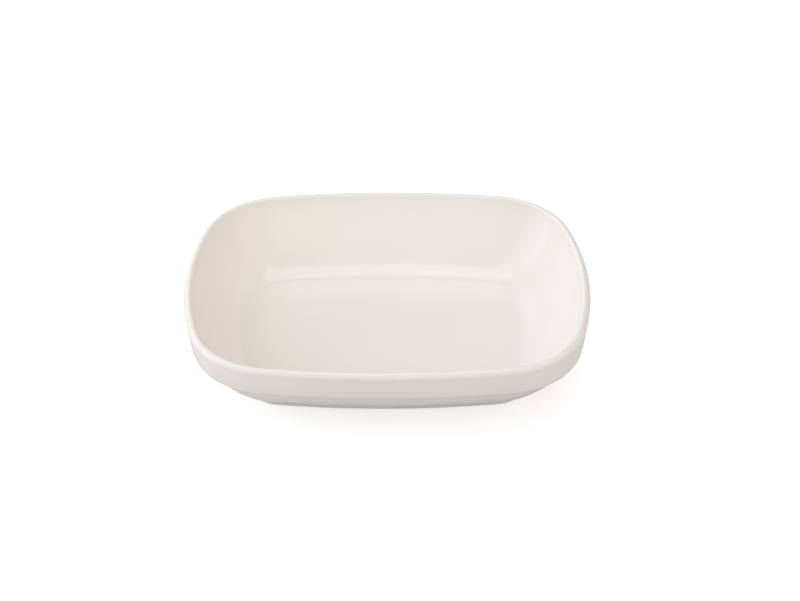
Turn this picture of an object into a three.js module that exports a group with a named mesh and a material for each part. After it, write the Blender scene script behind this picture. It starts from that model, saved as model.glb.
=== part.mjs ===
// A small rectangular serving dish in white glazed porcelain, 150 by 120 by 30 mm.
// One fired clay body carries two coats of glaze: one over the well, the lip, the outer band and
// the underside, and one inside the foot ring. The bare clay edge that the dish stands on parts them.
// Millimetres, +X along the long sides, +Z up, origin under the centre on the standing plane.

import * as THREE from "three";

// Plan, measured over the outside of the lip
const DISH_LENGTH = 150;
const DISH_WIDTH = 120;
const LONG_SIDE_RADIUS = 345;
const SHORT_SIDE_RADIUS = 126;
const LIP_CORNER_RADIUS = 32;
const FLOOR_CORNER_RADIUS = 9;

// Lip, and the near upright band below it on the outside
const DISH_HEIGHT = 30;
const LIP_THICKNESS = 3;
const BAND_DEPTH = 10;
const BAND_LEAN = 1;
const BAND_EDGE_ROUND = 0.8;

// Underside from the band's lower edge to the foot, and the well inside
const UNDERSIDE_RADIUS = 67;
const WALL_THICKNESS = 4;
const WELL_LEAN = THREE.MathUtils.degToRad(8);
const FLOOR_INSET = 26.5;
const FLOOR_THICKNESS = 3.4;

// Foot ring and the recess inside it
const FOOT_INSET = 19.5;
const FOOT_HEIGHT = 2.4;
const FOOT_FILLET = 1;
const FOOT_RING_WIDTH = 4.5;
const FOOT_EDGE_RADIUS = 0.4;
const BASE_RECESS = 1.8;
const BASE_FILLET = 0.5;

// Glaze, and the height to which the foot is wiped bare
const GLAZE_THICKNESS = 0.3;
const BARE_HEIGHT = 0.6;

// Facets: steps along each curve of the section, and round a quarter of the plan
const WELL_STEPS = 8;
const LIP_STEPS = 6;
const EDGE_STEPS = 2;
const UNDERSIDE_STEPS = 3;
const SIDE_STEPS = 4;
const CORNER_STEPS = 10;

const CLAY = new THREE.MeshStandardMaterial({ color: 0xded6ca, roughness: 0.85, metalness: 0 });
const GLAZE = new THREE.MeshStandardMaterial({ color: 0xe9e4de, roughness: 0.12, metalness: 0 });

const point = (x, y) => new THREE.Vector2(x, y);

// The corner's centre in the first quadrant: where two circles meet.
function meetingPoint(centreA, radiusA, centreB, radiusB) {
  const line = centreB.clone().sub(centreA);
  const apart = line.length();
  const along = (apart ** 2 + radiusA ** 2 - radiusB ** 2) / (2 * apart);
  const across = Math.sqrt(radiusA ** 2 - along ** 2);
  const direction = line.divideScalar(apart);
  const square = point(direction.y, -direction.x);
  return centreA.clone().addScaledVector(direction, along).addScaledVector(square, across);
}

// The plan outline at a distance inside the lip: four bowed sides, with tangent corner arcs that
// tighten from the lip's radius to the floor's.
function planOutline(inset) {
  const corner = THREE.MathUtils.mapLinear(inset, 0, FLOOR_INSET, LIP_CORNER_RADIUS, FLOOR_CORNER_RADIUS);
  const longSide = LONG_SIDE_RADIUS - inset;
  const shortSide = SHORT_SIDE_RADIUS - inset;
  const longCentre = point(0, DISH_WIDTH / 2 - LONG_SIDE_RADIUS);
  const shortCentre = point(DISH_LENGTH / 2 - SHORT_SIDE_RADIUS, 0);
  const cornerCentre = meetingPoint(longCentre, longSide - corner, shortCentre, shortSide - corner);
  const cornerStart = cornerCentre.clone().sub(shortCentre).angle();
  const cornerEnd = cornerCentre.clone().sub(longCentre).angle();
  const quarter = trace([
    [arc(shortCentre, shortSide, 0, cornerStart), SIDE_STEPS],
    [arc(cornerCentre, corner, cornerStart, cornerEnd), CORNER_STEPS],
    [arc(longCentre, longSide, cornerEnd, Math.PI / 2), SIDE_STEPS],
  ]);
  const forward = quarter.slice(0, -1);
  const back = quarter.slice(1).reverse();
  return [
    ...forward,
    ...back.map((p) => point(-p.x, p.y)),
    ...forward.map((p) => point(-p.x, -p.y)),
    ...back.map((p) => point(p.x, -p.y)),
  ];
}

function arc(centre, radius, start, end) {
  return new THREE.EllipseCurve(centre.x, centre.y, radius, radius, start, end);
}

// The points along a chain of curves that follow each other, each with its own number of steps.
function trace(chain) {
  const points = [chain[0][0].getPoint(0)];
  for (const [curve, steps] of chain) points.push(...curve.getPoints(steps).slice(1));
  return points;
}

// A section line moved to its left, into the clay, by the thickness of the glaze.
function underGlaze(line) {
  const leftOf = (from, to) => point(from.y - to.y, to.x - from.x).normalize();
  return line.map((here, i) => {
    const before = line[Math.max(i - 1, 0)];
    const after = line[Math.min(i + 1, line.length - 1)];
    const left = leftOf(i ? before : here, i ? here : after);
    const next = leftOf(after === here ? before : here, after);
    const mitre = left.clone().add(next).normalize();
    return here.clone().addScaledVector(mitre, GLAZE_THICKNESS / mitre.dot(left));
  });
}

// Settles which way each facet is split, so that glaze and clay share the same facets where they meet.
function isAbove(p, q) {
  return p.y === q.y ? p.x > q.x : p.y > q.y;
}

// Sweeps a section round the plan. Each section point is an inset from the lip and a height.
// The line runs from the upper flat to the lower flat, and each flat is closed to its middle.
function sweep(section) {
  const positions = [];
  const faces = [];
  const outlines = section.map((p) => planOutline(p.x));
  const around = outlines[0].length;
  outlines.forEach((outline, ring) => outline.forEach((p) => positions.push(p.x, p.y, section[ring].y)));
  const upperMiddle = section.length * around;
  const lowerMiddle = upperMiddle + 1;
  positions.push(0, 0, section[0].y);
  positions.push(0, 0, section.at(-1).y);
  const lowerRing = (section.length - 1) * around;
  for (let i = 0; i < around; i++) {
    const j = (i + 1) % around;
    faces.push(upperMiddle, i, j);
    faces.push(lowerMiddle, lowerRing + j, lowerRing + i);
    for (let step = 1; step < section.length; step++) {
      const ring = (step - 1) * around;
      const next = step * around;
      if (isAbove(section[step - 1], section[step])) {
        faces.push(ring + i, next + i, next + j);
        faces.push(ring + i, next + j, ring + j);
      } else {
        faces.push(ring + i, next + i, ring + j);
        faces.push(ring + j, next + i, next + j);
      }
    }
  }
  const geometry = new THREE.BufferGeometry();
  geometry.setAttribute("position", new THREE.Float32BufferAttribute(positions, 3));
  geometry.setIndex(faces);
  geometry.computeVertexNormals();
  return geometry;
}

// The glazed outside as it is seen: well, lip, band, underside and the upper part of the foot
function glazedOutside() {
  const lipHeight = DISH_HEIGHT - LIP_THICKNESS / 2;
  const lipInside = point(LIP_THICKNESS, lipHeight);
  const lipOutside = point(0, lipHeight);
  const bandEdge = point(BAND_LEAN, DISH_HEIGHT - BAND_DEPTH);
  const footTop = point(FOOT_INSET, FOOT_HEIGHT);
  const floorEdge = point(FLOOR_INSET, BASE_RECESS + FLOOR_THICKNESS);

  const chord = footTop.clone().sub(bandEdge);
  const intoClay = point(-chord.y, chord.x).normalize();
  const centreDistance = Math.sqrt(UNDERSIDE_RADIUS ** 2 - chord.lengthSq() / 4);
  const chordMiddle = bandEdge.clone().lerp(footTop, 0.5);
  const bowlCentre = chordMiddle.clone().addScaledVector(intoClay, centreDistance);
  const underside = arc(
    bowlCentre,
    UNDERSIDE_RADIUS,
    bandEdge.clone().sub(bowlCentre).angle() + BAND_EDGE_ROUND / UNDERSIDE_RADIUS,
    footTop.clone().sub(bowlCentre).angle() - FOOT_FILLET / UNDERSIDE_RADIUS,
  );

  // The well's wall is a cubic curve that passes the underside's middle at the wall's thickness.
  const wallMiddle = bowlCentre.clone().addScaledVector(intoClay, WALL_THICKNESS - UNDERSIDE_RADIUS);
  const drop = (4 * (lipInside.y + floorEdge.y) - 8 * wallMiddle.y) / 3;
  const lean = drop * Math.tan(WELL_LEAN);
  const reach = (4 * (lipInside.x + floorEdge.x) - 8 * wallMiddle.x) / 3 + lean;
  const wall = new THREE.CubicBezierCurve(
    floorEdge,
    point(floorEdge.x - reach, floorEdge.y),
    point(lipInside.x + lean, lipInside.y - drop),
    lipInside,
  );

  const bandEnd = bandEdge.clone().lerp(lipOutside, BAND_EDGE_ROUND / bandEdge.distanceTo(lipOutside));
  const footStart = point(FOOT_INSET, FOOT_HEIGHT - FOOT_FILLET);
  return trace([
    [wall, WELL_STEPS],
    [arc(point(LIP_THICKNESS / 2, lipHeight), LIP_THICKNESS / 2, 0, Math.PI), LIP_STEPS],
    [new THREE.LineCurve(lipOutside, bandEnd), 1],
    [new THREE.QuadraticBezierCurve(bandEnd, bandEdge, underside.getPoint(0)), EDGE_STEPS],
    [underside, UNDERSIDE_STEPS],
    [new THREE.QuadraticBezierCurve(underside.getPoint(1), footTop, footStart), EDGE_STEPS],
    [new THREE.LineCurve(footStart, point(FOOT_INSET, BARE_HEIGHT)), 1],
  ]);
}

// The glazed recess inside the foot ring, from the wiped line up to the flat base
function glazedBase() {
  const side = FOOT_INSET + FOOT_RING_WIDTH;
  const filletStart = point(side, BASE_RECESS - BASE_FILLET);
  const filletEnd = point(side + BASE_FILLET, BASE_RECESS);
  return trace([
    [new THREE.LineCurve(point(side, BARE_HEIGHT), filletStart), 1],
    [new THREE.QuadraticBezierCurve(filletStart, point(side, BASE_RECESS), filletEnd), EDGE_STEPS],
    [new THREE.LineCurve(filletEnd, point(filletEnd.x + BASE_FILLET, BASE_RECESS)), 1],
  ]);
}

// The bare clay edge that the dish stands on, between the two glaze lines
function bareFoot(outerLine, innerLine) {
  const outerRound = point(outerLine.x + FOOT_EDGE_RADIUS, FOOT_EDGE_RADIUS);
  const innerRound = point(innerLine.x - FOOT_EDGE_RADIUS, FOOT_EDGE_RADIUS);
  return trace([
    [arc(outerRound, FOOT_EDGE_RADIUS, Math.PI, 1.5 * Math.PI), EDGE_STEPS],
    [new THREE.LineCurve(point(outerRound.x, 0), point(innerRound.x, 0)), 1],
    [arc(innerRound, FOOT_EDGE_RADIUS, 1.5 * Math.PI, 2 * Math.PI), EDGE_STEPS],
  ]);
}

const outside = glazedOutside();
const outsideClay = underGlaze(outside);
const base = glazedBase();
const baseClay = underGlaze(base);
const standingEdge = bareFoot(outsideClay.at(-1), baseClay[0]);

function piece(name, section, material) {
  const mesh = new THREE.Mesh(sweep(section), material);
  mesh.name = name;
  return mesh;
}

const dish = new THREE.Group();
dish.add(piece("porcelain_body", [...outsideClay, ...standingEdge, ...baseClay], CLAY));
dish.add(piece("outer_glaze", [...outside, ...outsideClay.toReversed()], GLAZE));
dish.add(piece("base_glaze", [...baseClay.toReversed(), ...base], GLAZE));

export default dish;
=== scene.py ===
import math
import bmesh
import bpy
from mathutils import Matrix, Quaternion, Vector
from mathutils.geometry import interpolate_bezier, intersect_sphere_sphere_2d


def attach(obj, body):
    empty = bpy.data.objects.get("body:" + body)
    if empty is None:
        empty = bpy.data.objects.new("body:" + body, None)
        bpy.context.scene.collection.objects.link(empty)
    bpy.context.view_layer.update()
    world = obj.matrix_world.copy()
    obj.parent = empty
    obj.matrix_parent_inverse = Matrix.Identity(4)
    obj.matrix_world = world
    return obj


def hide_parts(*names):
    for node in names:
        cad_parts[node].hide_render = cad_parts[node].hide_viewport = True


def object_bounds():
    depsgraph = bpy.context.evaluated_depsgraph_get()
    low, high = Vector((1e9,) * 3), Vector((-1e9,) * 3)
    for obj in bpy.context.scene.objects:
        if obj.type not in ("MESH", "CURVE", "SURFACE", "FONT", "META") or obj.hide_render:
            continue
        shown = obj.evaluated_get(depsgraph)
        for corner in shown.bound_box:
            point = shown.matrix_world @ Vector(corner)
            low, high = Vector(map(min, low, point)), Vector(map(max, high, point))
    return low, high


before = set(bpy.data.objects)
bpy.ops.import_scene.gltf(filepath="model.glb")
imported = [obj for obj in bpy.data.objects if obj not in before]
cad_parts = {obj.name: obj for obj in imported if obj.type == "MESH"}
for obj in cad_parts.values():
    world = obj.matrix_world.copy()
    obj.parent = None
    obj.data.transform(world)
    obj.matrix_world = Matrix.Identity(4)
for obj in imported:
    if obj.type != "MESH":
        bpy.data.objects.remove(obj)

cad_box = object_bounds()

# The clay body: white porcelain, pressed in one piece and fired before it is glazed.
# It has a rounded lip, an upright band, a bowl-shaped underside and a foot ring, and it
# stays bare only at the edge that it stands on.
glaze_thickness = 0.0003
clay_length = cad_box[1][0] - cad_box[0][0] - 2 * glaze_thickness
clay_width = cad_box[1][1] - cad_box[0][1] - 2 * glaze_thickness
clay_height = cad_box[1][2] - glaze_thickness
long_side_radius = 0.3447
short_side_radius = 0.1257
corner_radius = 0.0317
side_steps = 4
corner_steps = 10
weld_distance = 1e-6
subdivisions = 2

# Section points are an inset from the outside of the glazed lip, and a height.
# The wall of the well and the underside are curves, each given by four Bezier points.
lip_outside = (glaze_thickness, clay_height)
lip_inside = (0.00253, clay_height)
lip_depth = 0.0018
wall_curve = [lip_inside, (0.0059, 0.0204), (0.0170, 0.0049), (0.0265, 0.0049)]
wall_steps = 10
floor_margin = (0.0305, 0.0049)
band_edge = (0.0013, 0.0199)
underside_curve = [band_edge, (0.0049, 0.0127), (0.0112, 0.0068), (0.0193, 0.0029)]
underside_steps = 6
outer_glaze_line = (0.0193, 0.0006)
foot_outside = (0.0193, 0)
foot_inside = (0.0237, 0)
inner_glaze_line = (0.0237, 0.0006)
base_edge = (0.0237, 0.0021)
base_margin = (0.0267, 0.0021)

# A pull draws a ring of the section in at its corners, and one below zero lets it out.
# The higher the focus, the closer this keeps to the corners.
band_corner_pull = -0.0011
underside_corner_pull = 0.0040
foot_corner_pull = -0.0012
corner_focus = 4

# Widths over which the edges are rounded, and the steps of each round.
lip_outer_round = 0.0017
lip_outer_steps = 5
lip_inner_round = 0.0005
band_edge_round = 0.0007
foot_fillet = 0.001
edge_steps = 3
foot_edge_round = 0.0004
base_fillet = 0.0005
fine_edge_steps = 2

bare, under_outer_glaze, under_base_glaze = range(3)
thin_glaze_and_shade, even_glaze, pooled_glaze = 0, 0.5, 1


def draw_plan(dish):
    """The plan at the lip: three tangent arcs for one quarter, mirrored twice and filled."""
    long_centre = Vector((0, clay_width / 2 - long_side_radius))
    short_centre = Vector((clay_length / 2 - short_side_radius, 0))
    meetings = intersect_sphere_sphere_2d(
        long_centre,
        long_side_radius - corner_radius,
        short_centre,
        short_side_radius - corner_radius,
    )
    corner_centre = max(meetings, key=lambda meeting: meeting.x)
    corner_start = math.atan2(*(corner_centre - short_centre).yx)
    corner_end = math.atan2(*(corner_centre - long_centre).yx)
    end = dish.verts.new((clay_length / 2, 0, clay_height))
    for centre, angle, steps in (
        (short_centre, corner_start, side_steps),
        (corner_centre, corner_end - corner_start, corner_steps),
        (long_centre, math.pi / 2 - corner_end, side_steps),
    ):
        arc = bmesh.ops.spin(
            dish, geom=[end], cent=centre.to_3d(), axis=(0, 0, 1), angle=angle, steps=steps
        )
        end = arc["geom_last"][0]
    for axis in "XY":
        outline = dish.verts[:] + dish.edges[:]
        bmesh.ops.mirror(
            dish, geom=outline, matrix=Matrix.Identity(4), merge_dist=weld_distance, axis=axis
        )
    return bmesh.ops.contextual_create(dish, geom=dish.edges[:])["faces"][0]


def step_along(dish, face, start, stops):
    """Insets a face ring by ring along a section line, and returns the edges of the last ring."""
    for stop in stops:
        inward = stop[0] - start[0]
        outward = (stop[1] - start[1]) * face.normal.z
        bmesh.ops.inset_individual(
            dish, faces=[face], thickness=inward, depth=outward, use_even_offset=True
        )
        start = stop
    return face.edges[:]


def curve_stops(curve, steps):
    """The points of a section curve after its first."""
    knots = [Vector((*point, 0)) for point in curve]
    return [point.xy for point in interpolate_bezier(*knots, steps + 1)][1:]


def draw_in_corners(face, pull):
    """Moves the outline of a face in at its corners, most in the middle of each corner."""
    half_length = max(vert.co.x for vert in face.verts)
    half_width = max(vert.co.y for vert in face.verts)
    share_along_axis = math.sqrt(0.5)
    for vert in face.verts:
        nearness = min(abs(vert.co.x) / half_length, abs(vert.co.y) / half_width)
        shift = pull * nearness**corner_focus * share_along_axis
        vert.co.x -= shift * math.copysign(1, vert.co.x)
        vert.co.y -= shift * math.copysign(1, vert.co.y)


def round_edges(dish, edges, width, steps, glaze=even_glaze):
    """Rounds a ring of edges, and marks how deep the glaze lies on it."""
    rounded = bmesh.ops.bevel(
        dish, geom=edges, offset=width, offset_type="OFFSET", segments=steps, profile=0.5,
        affect="EDGES", clamp_overlap=True, material=-1,
    )
    depth = dish.verts.layers.float["glaze_depth"]
    for vert in rounded["verts"]:
        vert[depth] = glaze


def press_clay():
    """The closed clay body. Each face's material index says which glaze covers it, if any."""
    dish = bmesh.new()
    top = draw_plan(dish)
    lowered = bmesh.ops.extrude_face_region(dish, geom=[top], use_keep_orig=True)["geom"]
    bottom = next(part for part in lowered if isinstance(part, bmesh.types.BMFace))
    bmesh.ops.translate(dish, verts=bottom.verts[:], vec=(0, 0, -lip_depth))
    bmesh.ops.recalc_face_normals(dish, faces=dish.faces[:])
    for face in dish.faces:
        face.material_index = under_outer_glaze
    depth = dish.verts.layers.float.new("glaze_depth")

    lip_outer_edges = top.edges[:]
    lip_inner_edges = step_along(dish, top, lip_outside, [lip_inside])
    step_along(dish, top, lip_inside, curve_stops(wall_curve, wall_steps))
    step_along(dish, top, wall_curve[-1], [floor_margin])

    lip_bottom = (lip_outside[0], clay_height - lip_depth)
    band_edges = step_along(dish, bottom, lip_bottom, [band_edge])
    draw_in_corners(bottom, band_corner_pull)
    underside_stops = curve_stops(underside_curve, underside_steps)
    step_along(dish, bottom, band_edge, underside_stops[:1])
    draw_in_corners(bottom, underside_corner_pull)
    foot_top_edges = step_along(dish, bottom, underside_stops[0], underside_stops[1:])
    draw_in_corners(bottom, foot_corner_pull)
    step_along(dish, bottom, underside_curve[-1], [outer_glaze_line])
    bottom.material_index = bare
    foot_edges = step_along(dish, bottom, outer_glaze_line, [foot_outside])
    foot_edges += step_along(dish, bottom, foot_outside, [foot_inside])
    step_along(dish, bottom, foot_inside, [inner_glaze_line])
    bottom.material_index = under_base_glaze
    base_edges = step_along(dish, bottom, inner_glaze_line, [base_edge])
    step_along(dish, bottom, base_edge, [base_margin])

    for vert in dish.verts:
        vert[depth] = even_glaze
    # The lip and band edges are marked thin; their glaze is darkened, partly for the thin glaze
    # and partly as painted shade.
    round_edges(dish, lip_outer_edges, lip_outer_round, lip_outer_steps, thin_glaze_and_shade)
    round_edges(dish, lip_inner_edges, lip_inner_round, edge_steps, thin_glaze_and_shade)
    round_edges(dish, band_edges, band_edge_round, edge_steps, thin_glaze_and_shade)
    round_edges(dish, foot_top_edges, foot_fillet, edge_steps, pooled_glaze)
    round_edges(dish, foot_edges, foot_edge_round, fine_edge_steps)
    round_edges(dish, base_edges, base_fillet, fine_edge_steps, pooled_glaze)
    return dish


def make_piece(name, dish, material):
    """A smooth, subdivided object from a bmesh, in one material."""
    for face in dish.faces:
        face.material_index = 0
        face.smooth = True
    mesh = bpy.data.meshes.new(name)
    dish.to_mesh(mesh)
    dish.free()
    mesh.materials.append(material)
    piece = bpy.data.objects.new(name, mesh)
    bpy.context.scene.collection.objects.link(piece)
    subdivision = piece.modifiers.new("Subdivision", "SUBSURF")
    subdivision.levels = subdivisions
    subdivision.render_levels = subdivisions
    return piece


def new_material(name):
    """An empty node material, with its shader and the piece's own coordinates."""
    material = bpy.data.materials.new(name)
    material.use_nodes = True
    nodes = material.node_tree.nodes
    place = nodes.new("ShaderNodeTexCoord").outputs["Object"]
    return material, nodes, material.node_tree.links, nodes["Principled BSDF"], place


def mottle(nodes, links, place, scale, detail):
    """A soft random pattern, with this many lumps to the metre."""
    noise = nodes.new("ShaderNodeTexNoise")
    noise.inputs["Scale"].default_value = scale
    noise.inputs["Detail"].default_value = detail
    links.new(place, noise.inputs["Vector"])
    return noise.outputs["Fac"]


def tones(nodes, links, pattern, stops):
    """Two colours blended by a pattern, between the two values given with them."""
    ramp = nodes.new("ShaderNodeValToRGB")
    for element, (position, colour) in zip(ramp.color_ramp.elements, stops):
        element.position = position
        element.color = (*colour, 1)
    links.new(pattern, ramp.inputs["Fac"])
    return ramp.outputs["Color"]


def span(nodes, links, pattern, from_range, to_range):
    """A pattern brought from one range of values to another, and kept inside it."""
    mapped = nodes.new("ShaderNodeMapRange")
    mapped.inputs["From Min"].default_value, mapped.inputs["From Max"].default_value = from_range
    mapped.inputs["To Min"].default_value, mapped.inputs["To Max"].default_value = to_range
    links.new(pattern, mapped.inputs["Value"])
    return mapped.outputs["Result"]


def tint(nodes, links, amount, colour, over):
    """A colour multiplied over another in the given amount."""
    mix = nodes.new("ShaderNodeMix")
    mix.data_type = "RGBA"
    mix.blend_type = "MULTIPLY"
    mix.inputs["B"].default_value = (*colour, 1)
    links.new(amount, mix.inputs["Factor"])
    links.new(over, mix.inputs["A"])
    return mix.outputs["Result"]


def relief(nodes, links, pattern, height, under=None):
    """Bumps as high as given, in metres, laid over an earlier relief if there is one."""
    bump = nodes.new("ShaderNodeBump")
    bump.inputs["Distance"].default_value = height
    links.new(pattern, bump.inputs["Height"])
    if under:
        links.new(under, bump.inputs["Normal"])
    return bump.outputs["Normal"]


clay_tones = [(0.35, (0.68, 0.62, 0.54)), (0.65, (0.80, 0.74, 0.66))]
shelf_rub = (0.72, 0.69, 0.66)
rubbed_patches = (0.50, 0.68)
rub_amount = (0, 0.8)
clay_roughness = (0.9, 0.72)
mottle_range = (0.3, 0.7)
bisque, nodes, links, shader, place = new_material("bare_bisque")
grain = mottle(nodes, links, place, scale=2600, detail=5)
patches = mottle(nodes, links, place, scale=110, detail=3)
colour = tones(nodes, links, grain, clay_tones)
rubbed = span(nodes, links, patches, rubbed_patches, rub_amount)
links.new(tint(nodes, links, rubbed, shelf_rub, colour), shader.inputs["Base Color"])
links.new(span(nodes, links, patches, mottle_range, clay_roughness), shader.inputs["Roughness"])
links.new(relief(nodes, links, grain, height=0.00006), shader.inputs["Normal"])
clay_body = make_piece("clay_body", press_clay(), bisque)
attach(clay_body, "root")
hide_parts("porcelain_body")

# The outer glaze: a glossy white coat of glass, melted on in the second firing.
# It covers the well, the lip, the band and the underside, down to the line wiped on the foot.
# It is thin on the edges and a little darker there, partly for the thin glaze and partly as
# painted shade that dims the lip and band edge where they catch the light; it pools in the
# hollows, and has a few iron specks.
rolled_edge_width = 0.00012
rolled_edge_angle = math.radians(60)
rolled_edge_steps = 2
cloud_tones = [(0.36, (0.842, 0.806, 0.754)), (0.64, (0.858, 0.824, 0.776))]
# Partly painted shade: this tone darkens the lip and band edges to dim the light they catch, as
# well as giving the thin glaze there its tone.
thin_glaze_and_painted_shade_tone = (0.965, 0.965, 0.96)
pooled_tone = (0.98, 0.985, 0.98)
speck_tone = (0.42, 0.33, 0.24)
speck_cells = 75
speck_radius = 0.00016
speck_chance = (0.86, 0.87)
glaze_roughness = (0.08, 0.12)
glass_ior = 1.5


def coat(dish, name, covered, material):
    """A glaze coat of even thickness on the clay faces that it covers, with a rounded edge."""
    uncovered = [face for face in dish.faces if face.material_index != covered]
    bmesh.ops.delete(dish, geom=uncovered, context="FACES")
    piece = make_piece(name, dish, material)
    thickness = piece.modifiers.new("Glaze thickness", "SOLIDIFY")
    thickness.thickness = glaze_thickness
    thickness.offset = 1
    thickness.use_even_offset = True
    rolled_edge = piece.modifiers.new("Rolled edge", "BEVEL")
    rolled_edge.limit_method = "ANGLE"
    rolled_edge.angle_limit = rolled_edge_angle
    rolled_edge.width = rolled_edge_width
    rolled_edge.segments = rolled_edge_steps
    return piece


white_glaze, nodes, links, shader, place = new_material("white_glaze")
shader.inputs["IOR"].default_value = glass_ior
clouds = mottle(nodes, links, place, scale=28, detail=3)
colour = tones(nodes, links, clouds, cloud_tones)
depth = nodes.new("ShaderNodeAttribute")
depth.attribute_name = "glaze_depth"
# The thin-edge mask carries the darker edge tone, which is partly the thin glaze and partly
# painted shade.
thin_edge_shade_mask = span(nodes, links, depth.outputs["Fac"], (even_glaze, thin_glaze_and_shade), (0, 1))
pooled = span(nodes, links, depth.outputs["Fac"], (even_glaze, pooled_glaze), (0, 1))
colour = tint(nodes, links, thin_edge_shade_mask, thin_glaze_and_painted_shade_tone, colour)
colour = tint(nodes, links, pooled, pooled_tone, colour)
cells = nodes.new("ShaderNodeTexVoronoi")
cells.inputs["Scale"].default_value = speck_cells
links.new(place, cells.inputs["Vector"])
chance = nodes.new("ShaderNodeSeparateColor")
links.new(cells.outputs["Color"], chance.inputs["Color"])
chosen = span(nodes, links, chance.outputs["Red"], speck_chance, (0, 1))
dot = span(nodes, links, cells.outputs["Distance"], (speck_radius * speck_cells, 0), (0, 1))
speck = nodes.new("ShaderNodeMath")
speck.operation = "MULTIPLY"
links.new(chosen, speck.inputs[0])
links.new(dot, speck.inputs[1])
colour = tint(nodes, links, speck.outputs["Value"], speck_tone, colour)
links.new(colour, shader.inputs["Base Color"])
ripple = mottle(nodes, links, place, scale=240, detail=2)
waves = mottle(nodes, links, place, scale=45, detail=1)
links.new(span(nodes, links, ripple, mottle_range, glaze_roughness), shader.inputs["Roughness"])
surface = relief(nodes, links, waves, height=0.00006)
surface = relief(nodes, links, ripple, height=0.000012, under=surface)
links.new(surface, shader.inputs["Normal"])
outer_coat = coat(press_clay(), "outer_coat", under_outer_glaze, white_glaze)
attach(outer_coat, "root")
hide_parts("outer_glaze")

# The base glaze: the same glass inside the foot ring, cut off from the rest by the bare edge.
# It lines the recess under the floor.
base_coat = coat(press_clay(), "base_coat", under_base_glaze, white_glaze)
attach(base_coat, "root")
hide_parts("base_glaze")

# The table: a broad white sheet, matt, on which the dish stands.
# It is lit like the dish, and glows a little where it is seen, so that it comes out white.
table_width = 8
table_tones = [(0.3, (0.70, 0.70, 0.695)), (0.7, (0.72, 0.72, 0.715))]
table_roughness = (0.85, 0.95)
seen_glow = 0.55
mirrored_glow = 0.06
glow_by_ray = {
    "Is Camera Ray": seen_glow,
    "Is Glossy Ray": mirrored_glow,
    "Is Transmission Ray": mirrored_glow,
}
table_mesh = bpy.data.meshes.new("table")
sheet = bmesh.new()
bmesh.ops.create_grid(sheet, x_segments=1, y_segments=1, size=table_width / 2)
sheet.to_mesh(table_mesh)
sheet.free()
table = bpy.data.objects.new("table", table_mesh)
bpy.context.scene.collection.objects.link(table)
table_white, nodes, links, shader, place = new_material("table_white")
shader.inputs["Specular IOR Level"].default_value = 0
shader.inputs["Emission Color"].default_value = (1, 1, 1, 1)
weave = mottle(nodes, links, place, scale=500, detail=2)
links.new(tones(nodes, links, weave, table_tones), shader.inputs["Base Color"])
links.new(span(nodes, links, weave, mottle_range, table_roughness), shader.inputs["Roughness"])
ray = nodes.new("ShaderNodeLightPath")
glow = None
for kind, strength in glow_by_ray.items():
    part = nodes.new("ShaderNodeMath")
    part.operation = "MULTIPLY_ADD"
    part.inputs[1].default_value = strength
    part.inputs[2].default_value = 0
    links.new(ray.outputs[kind], part.inputs[0])
    if glow:
        links.new(glow, part.inputs[2])
    glow = part.outputs["Value"]
links.new(glow, shader.inputs["Emission Strength"])
table_mesh.materials.append(table_white)

# The studio light: one large softbox overhead, which shows as the bright streak in the well,
# a small low lamp at the left, and wide soft light from the walls of the room.
softbox_width = 1.35
softbox_depth = 0.70
softbox_colour = (1.33, 1.46, 1.49)
softbox_place = (-0.07, 0.21, 1.0)
softbox_aim = (0, 0, -1)
low_lamp_width = 0.16
low_lamp_height = 0.042
low_lamp_colour = (32, 30.5, 29)
low_lamp_place = (-1.0, -0.08, 0.024)
low_lamp_aim = (1, 0.08, 0)
room_colour = (0.31, 0.26, 0.25)

# Each wall light is an angle round the dish, clockwise from the back as seen from above, a height
# in degrees and a colour. The higher the narrowness, the faster a light fades to its sides.
wall_lights = [
    (90, 25, (0.52, 0.44, 0.41)),
    (135, 25, (0.47, 0.51, 0.51)),
    (180, 25, (0.98, 1.00, 1.03)),
    (270, 25, (1.35, 1.49, 1.58)),
    (315, 0, (1.37, 1.31, 1.46)),
]
narrowness = 6


def place_lamp(name, width, height, colour, place, aim):
    """A flat lamp as bright as its colour, facing the way it is aimed."""
    data = bpy.data.lights.new(name, "AREA")
    data.shape = "RECTANGLE"
    data.size = width
    data.size_y = height
    data.color = colour
    data.energy = math.pi * width * height
    lamp = bpy.data.objects.new(name, data)
    lamp.location = place
    lamp.rotation_euler = Vector(aim).to_track_quat("-Z", "Y").to_euler()
    bpy.context.scene.collection.objects.link(lamp)


place_lamp("softbox", softbox_width, softbox_depth, softbox_colour, softbox_place, softbox_aim)
place_lamp(
    "low_lamp", low_lamp_width, low_lamp_height, low_lamp_colour, low_lamp_place, low_lamp_aim
)

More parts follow.
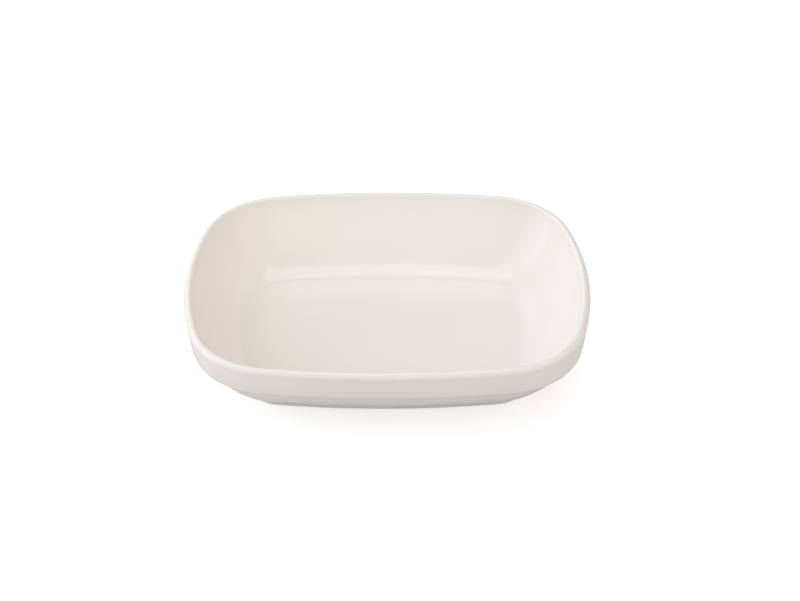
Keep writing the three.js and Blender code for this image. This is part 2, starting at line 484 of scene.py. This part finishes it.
world = bpy.data.worlds.new("studio")
world.use_nodes = True
bpy.context.scene.world = world
nodes, links = world.node_tree.nodes, world.node_tree.links
nodes["Background"].inputs["Color"].default_value = (*room_colour, 1)
light = nodes["Background"].outputs["Background"]
direction = nodes.new("ShaderNodeTexCoord").outputs["Generated"]
for angle, height, colour in wall_lights:
    towards = Vector((0, 1, 0))
    towards.rotate(Quaternion((1, 0, 0), math.radians(height)))
    towards.rotate(Quaternion((0, 0, 1), -math.radians(angle)))
    facing = nodes.new("ShaderNodeVectorMath")
    facing.operation = "DOT_PRODUCT"
    facing.inputs[1].default_value = towards
    links.new(direction, facing.inputs[0])
    falloff = nodes.new("ShaderNodeMath")
    falloff.operation = "POWER"
    falloff.inputs[1].default_value = narrowness
    links.new(span(nodes, links, facing.outputs["Value"], (0, 1), (0, 1)), falloff.inputs[0])
    wall_light = nodes.new("ShaderNodeBackground")
    wall_light.inputs["Color"].default_value = (*colour, 1)
    links.new(falloff.outputs["Value"], wall_light.inputs["Strength"])
    both = nodes.new("ShaderNodeAddShader")
    links.new(light, both.inputs[0])
    links.new(wall_light.outputs["Background"], both.inputs[1])
    light = both.outputs["Shader"]
links.new(light, nodes["World Output"].inputs["Surface"])

# The camera: a long lens, square to a long side of the dish and 35 degrees above the table.
# It aims at the middle of the rim, and is shifted a little to frame the dish as in the photograph.
rim_middle = Vector((0, 0, 0.030))
distance = 0.64677
elevation = math.radians(34.92)
roll = -0.0031
camera_data = bpy.data.cameras.new("camera")
camera_data.sensor_width = 36
camera_data.lens = 78.6
camera_data.shift_x = 0.0161
camera_data.shift_y = -0.0299
camera = bpy.data.objects.new("camera", camera_data)
bpy.context.scene.collection.objects.link(camera)
line_of_sight = Vector((0, math.cos(elevation), -math.sin(elevation)))
camera.location = rim_middle - distance * line_of_sight
upright = line_of_sight.to_track_quat("-Z", "Y")
camera.rotation_euler = (upright @ Quaternion((0, 0, 1), roll)).to_euler()
bpy.context.scene.camera = camera
bpy.context.scene.view_settings.view_transform = "Standard"

bpy.context.view_layer.update()
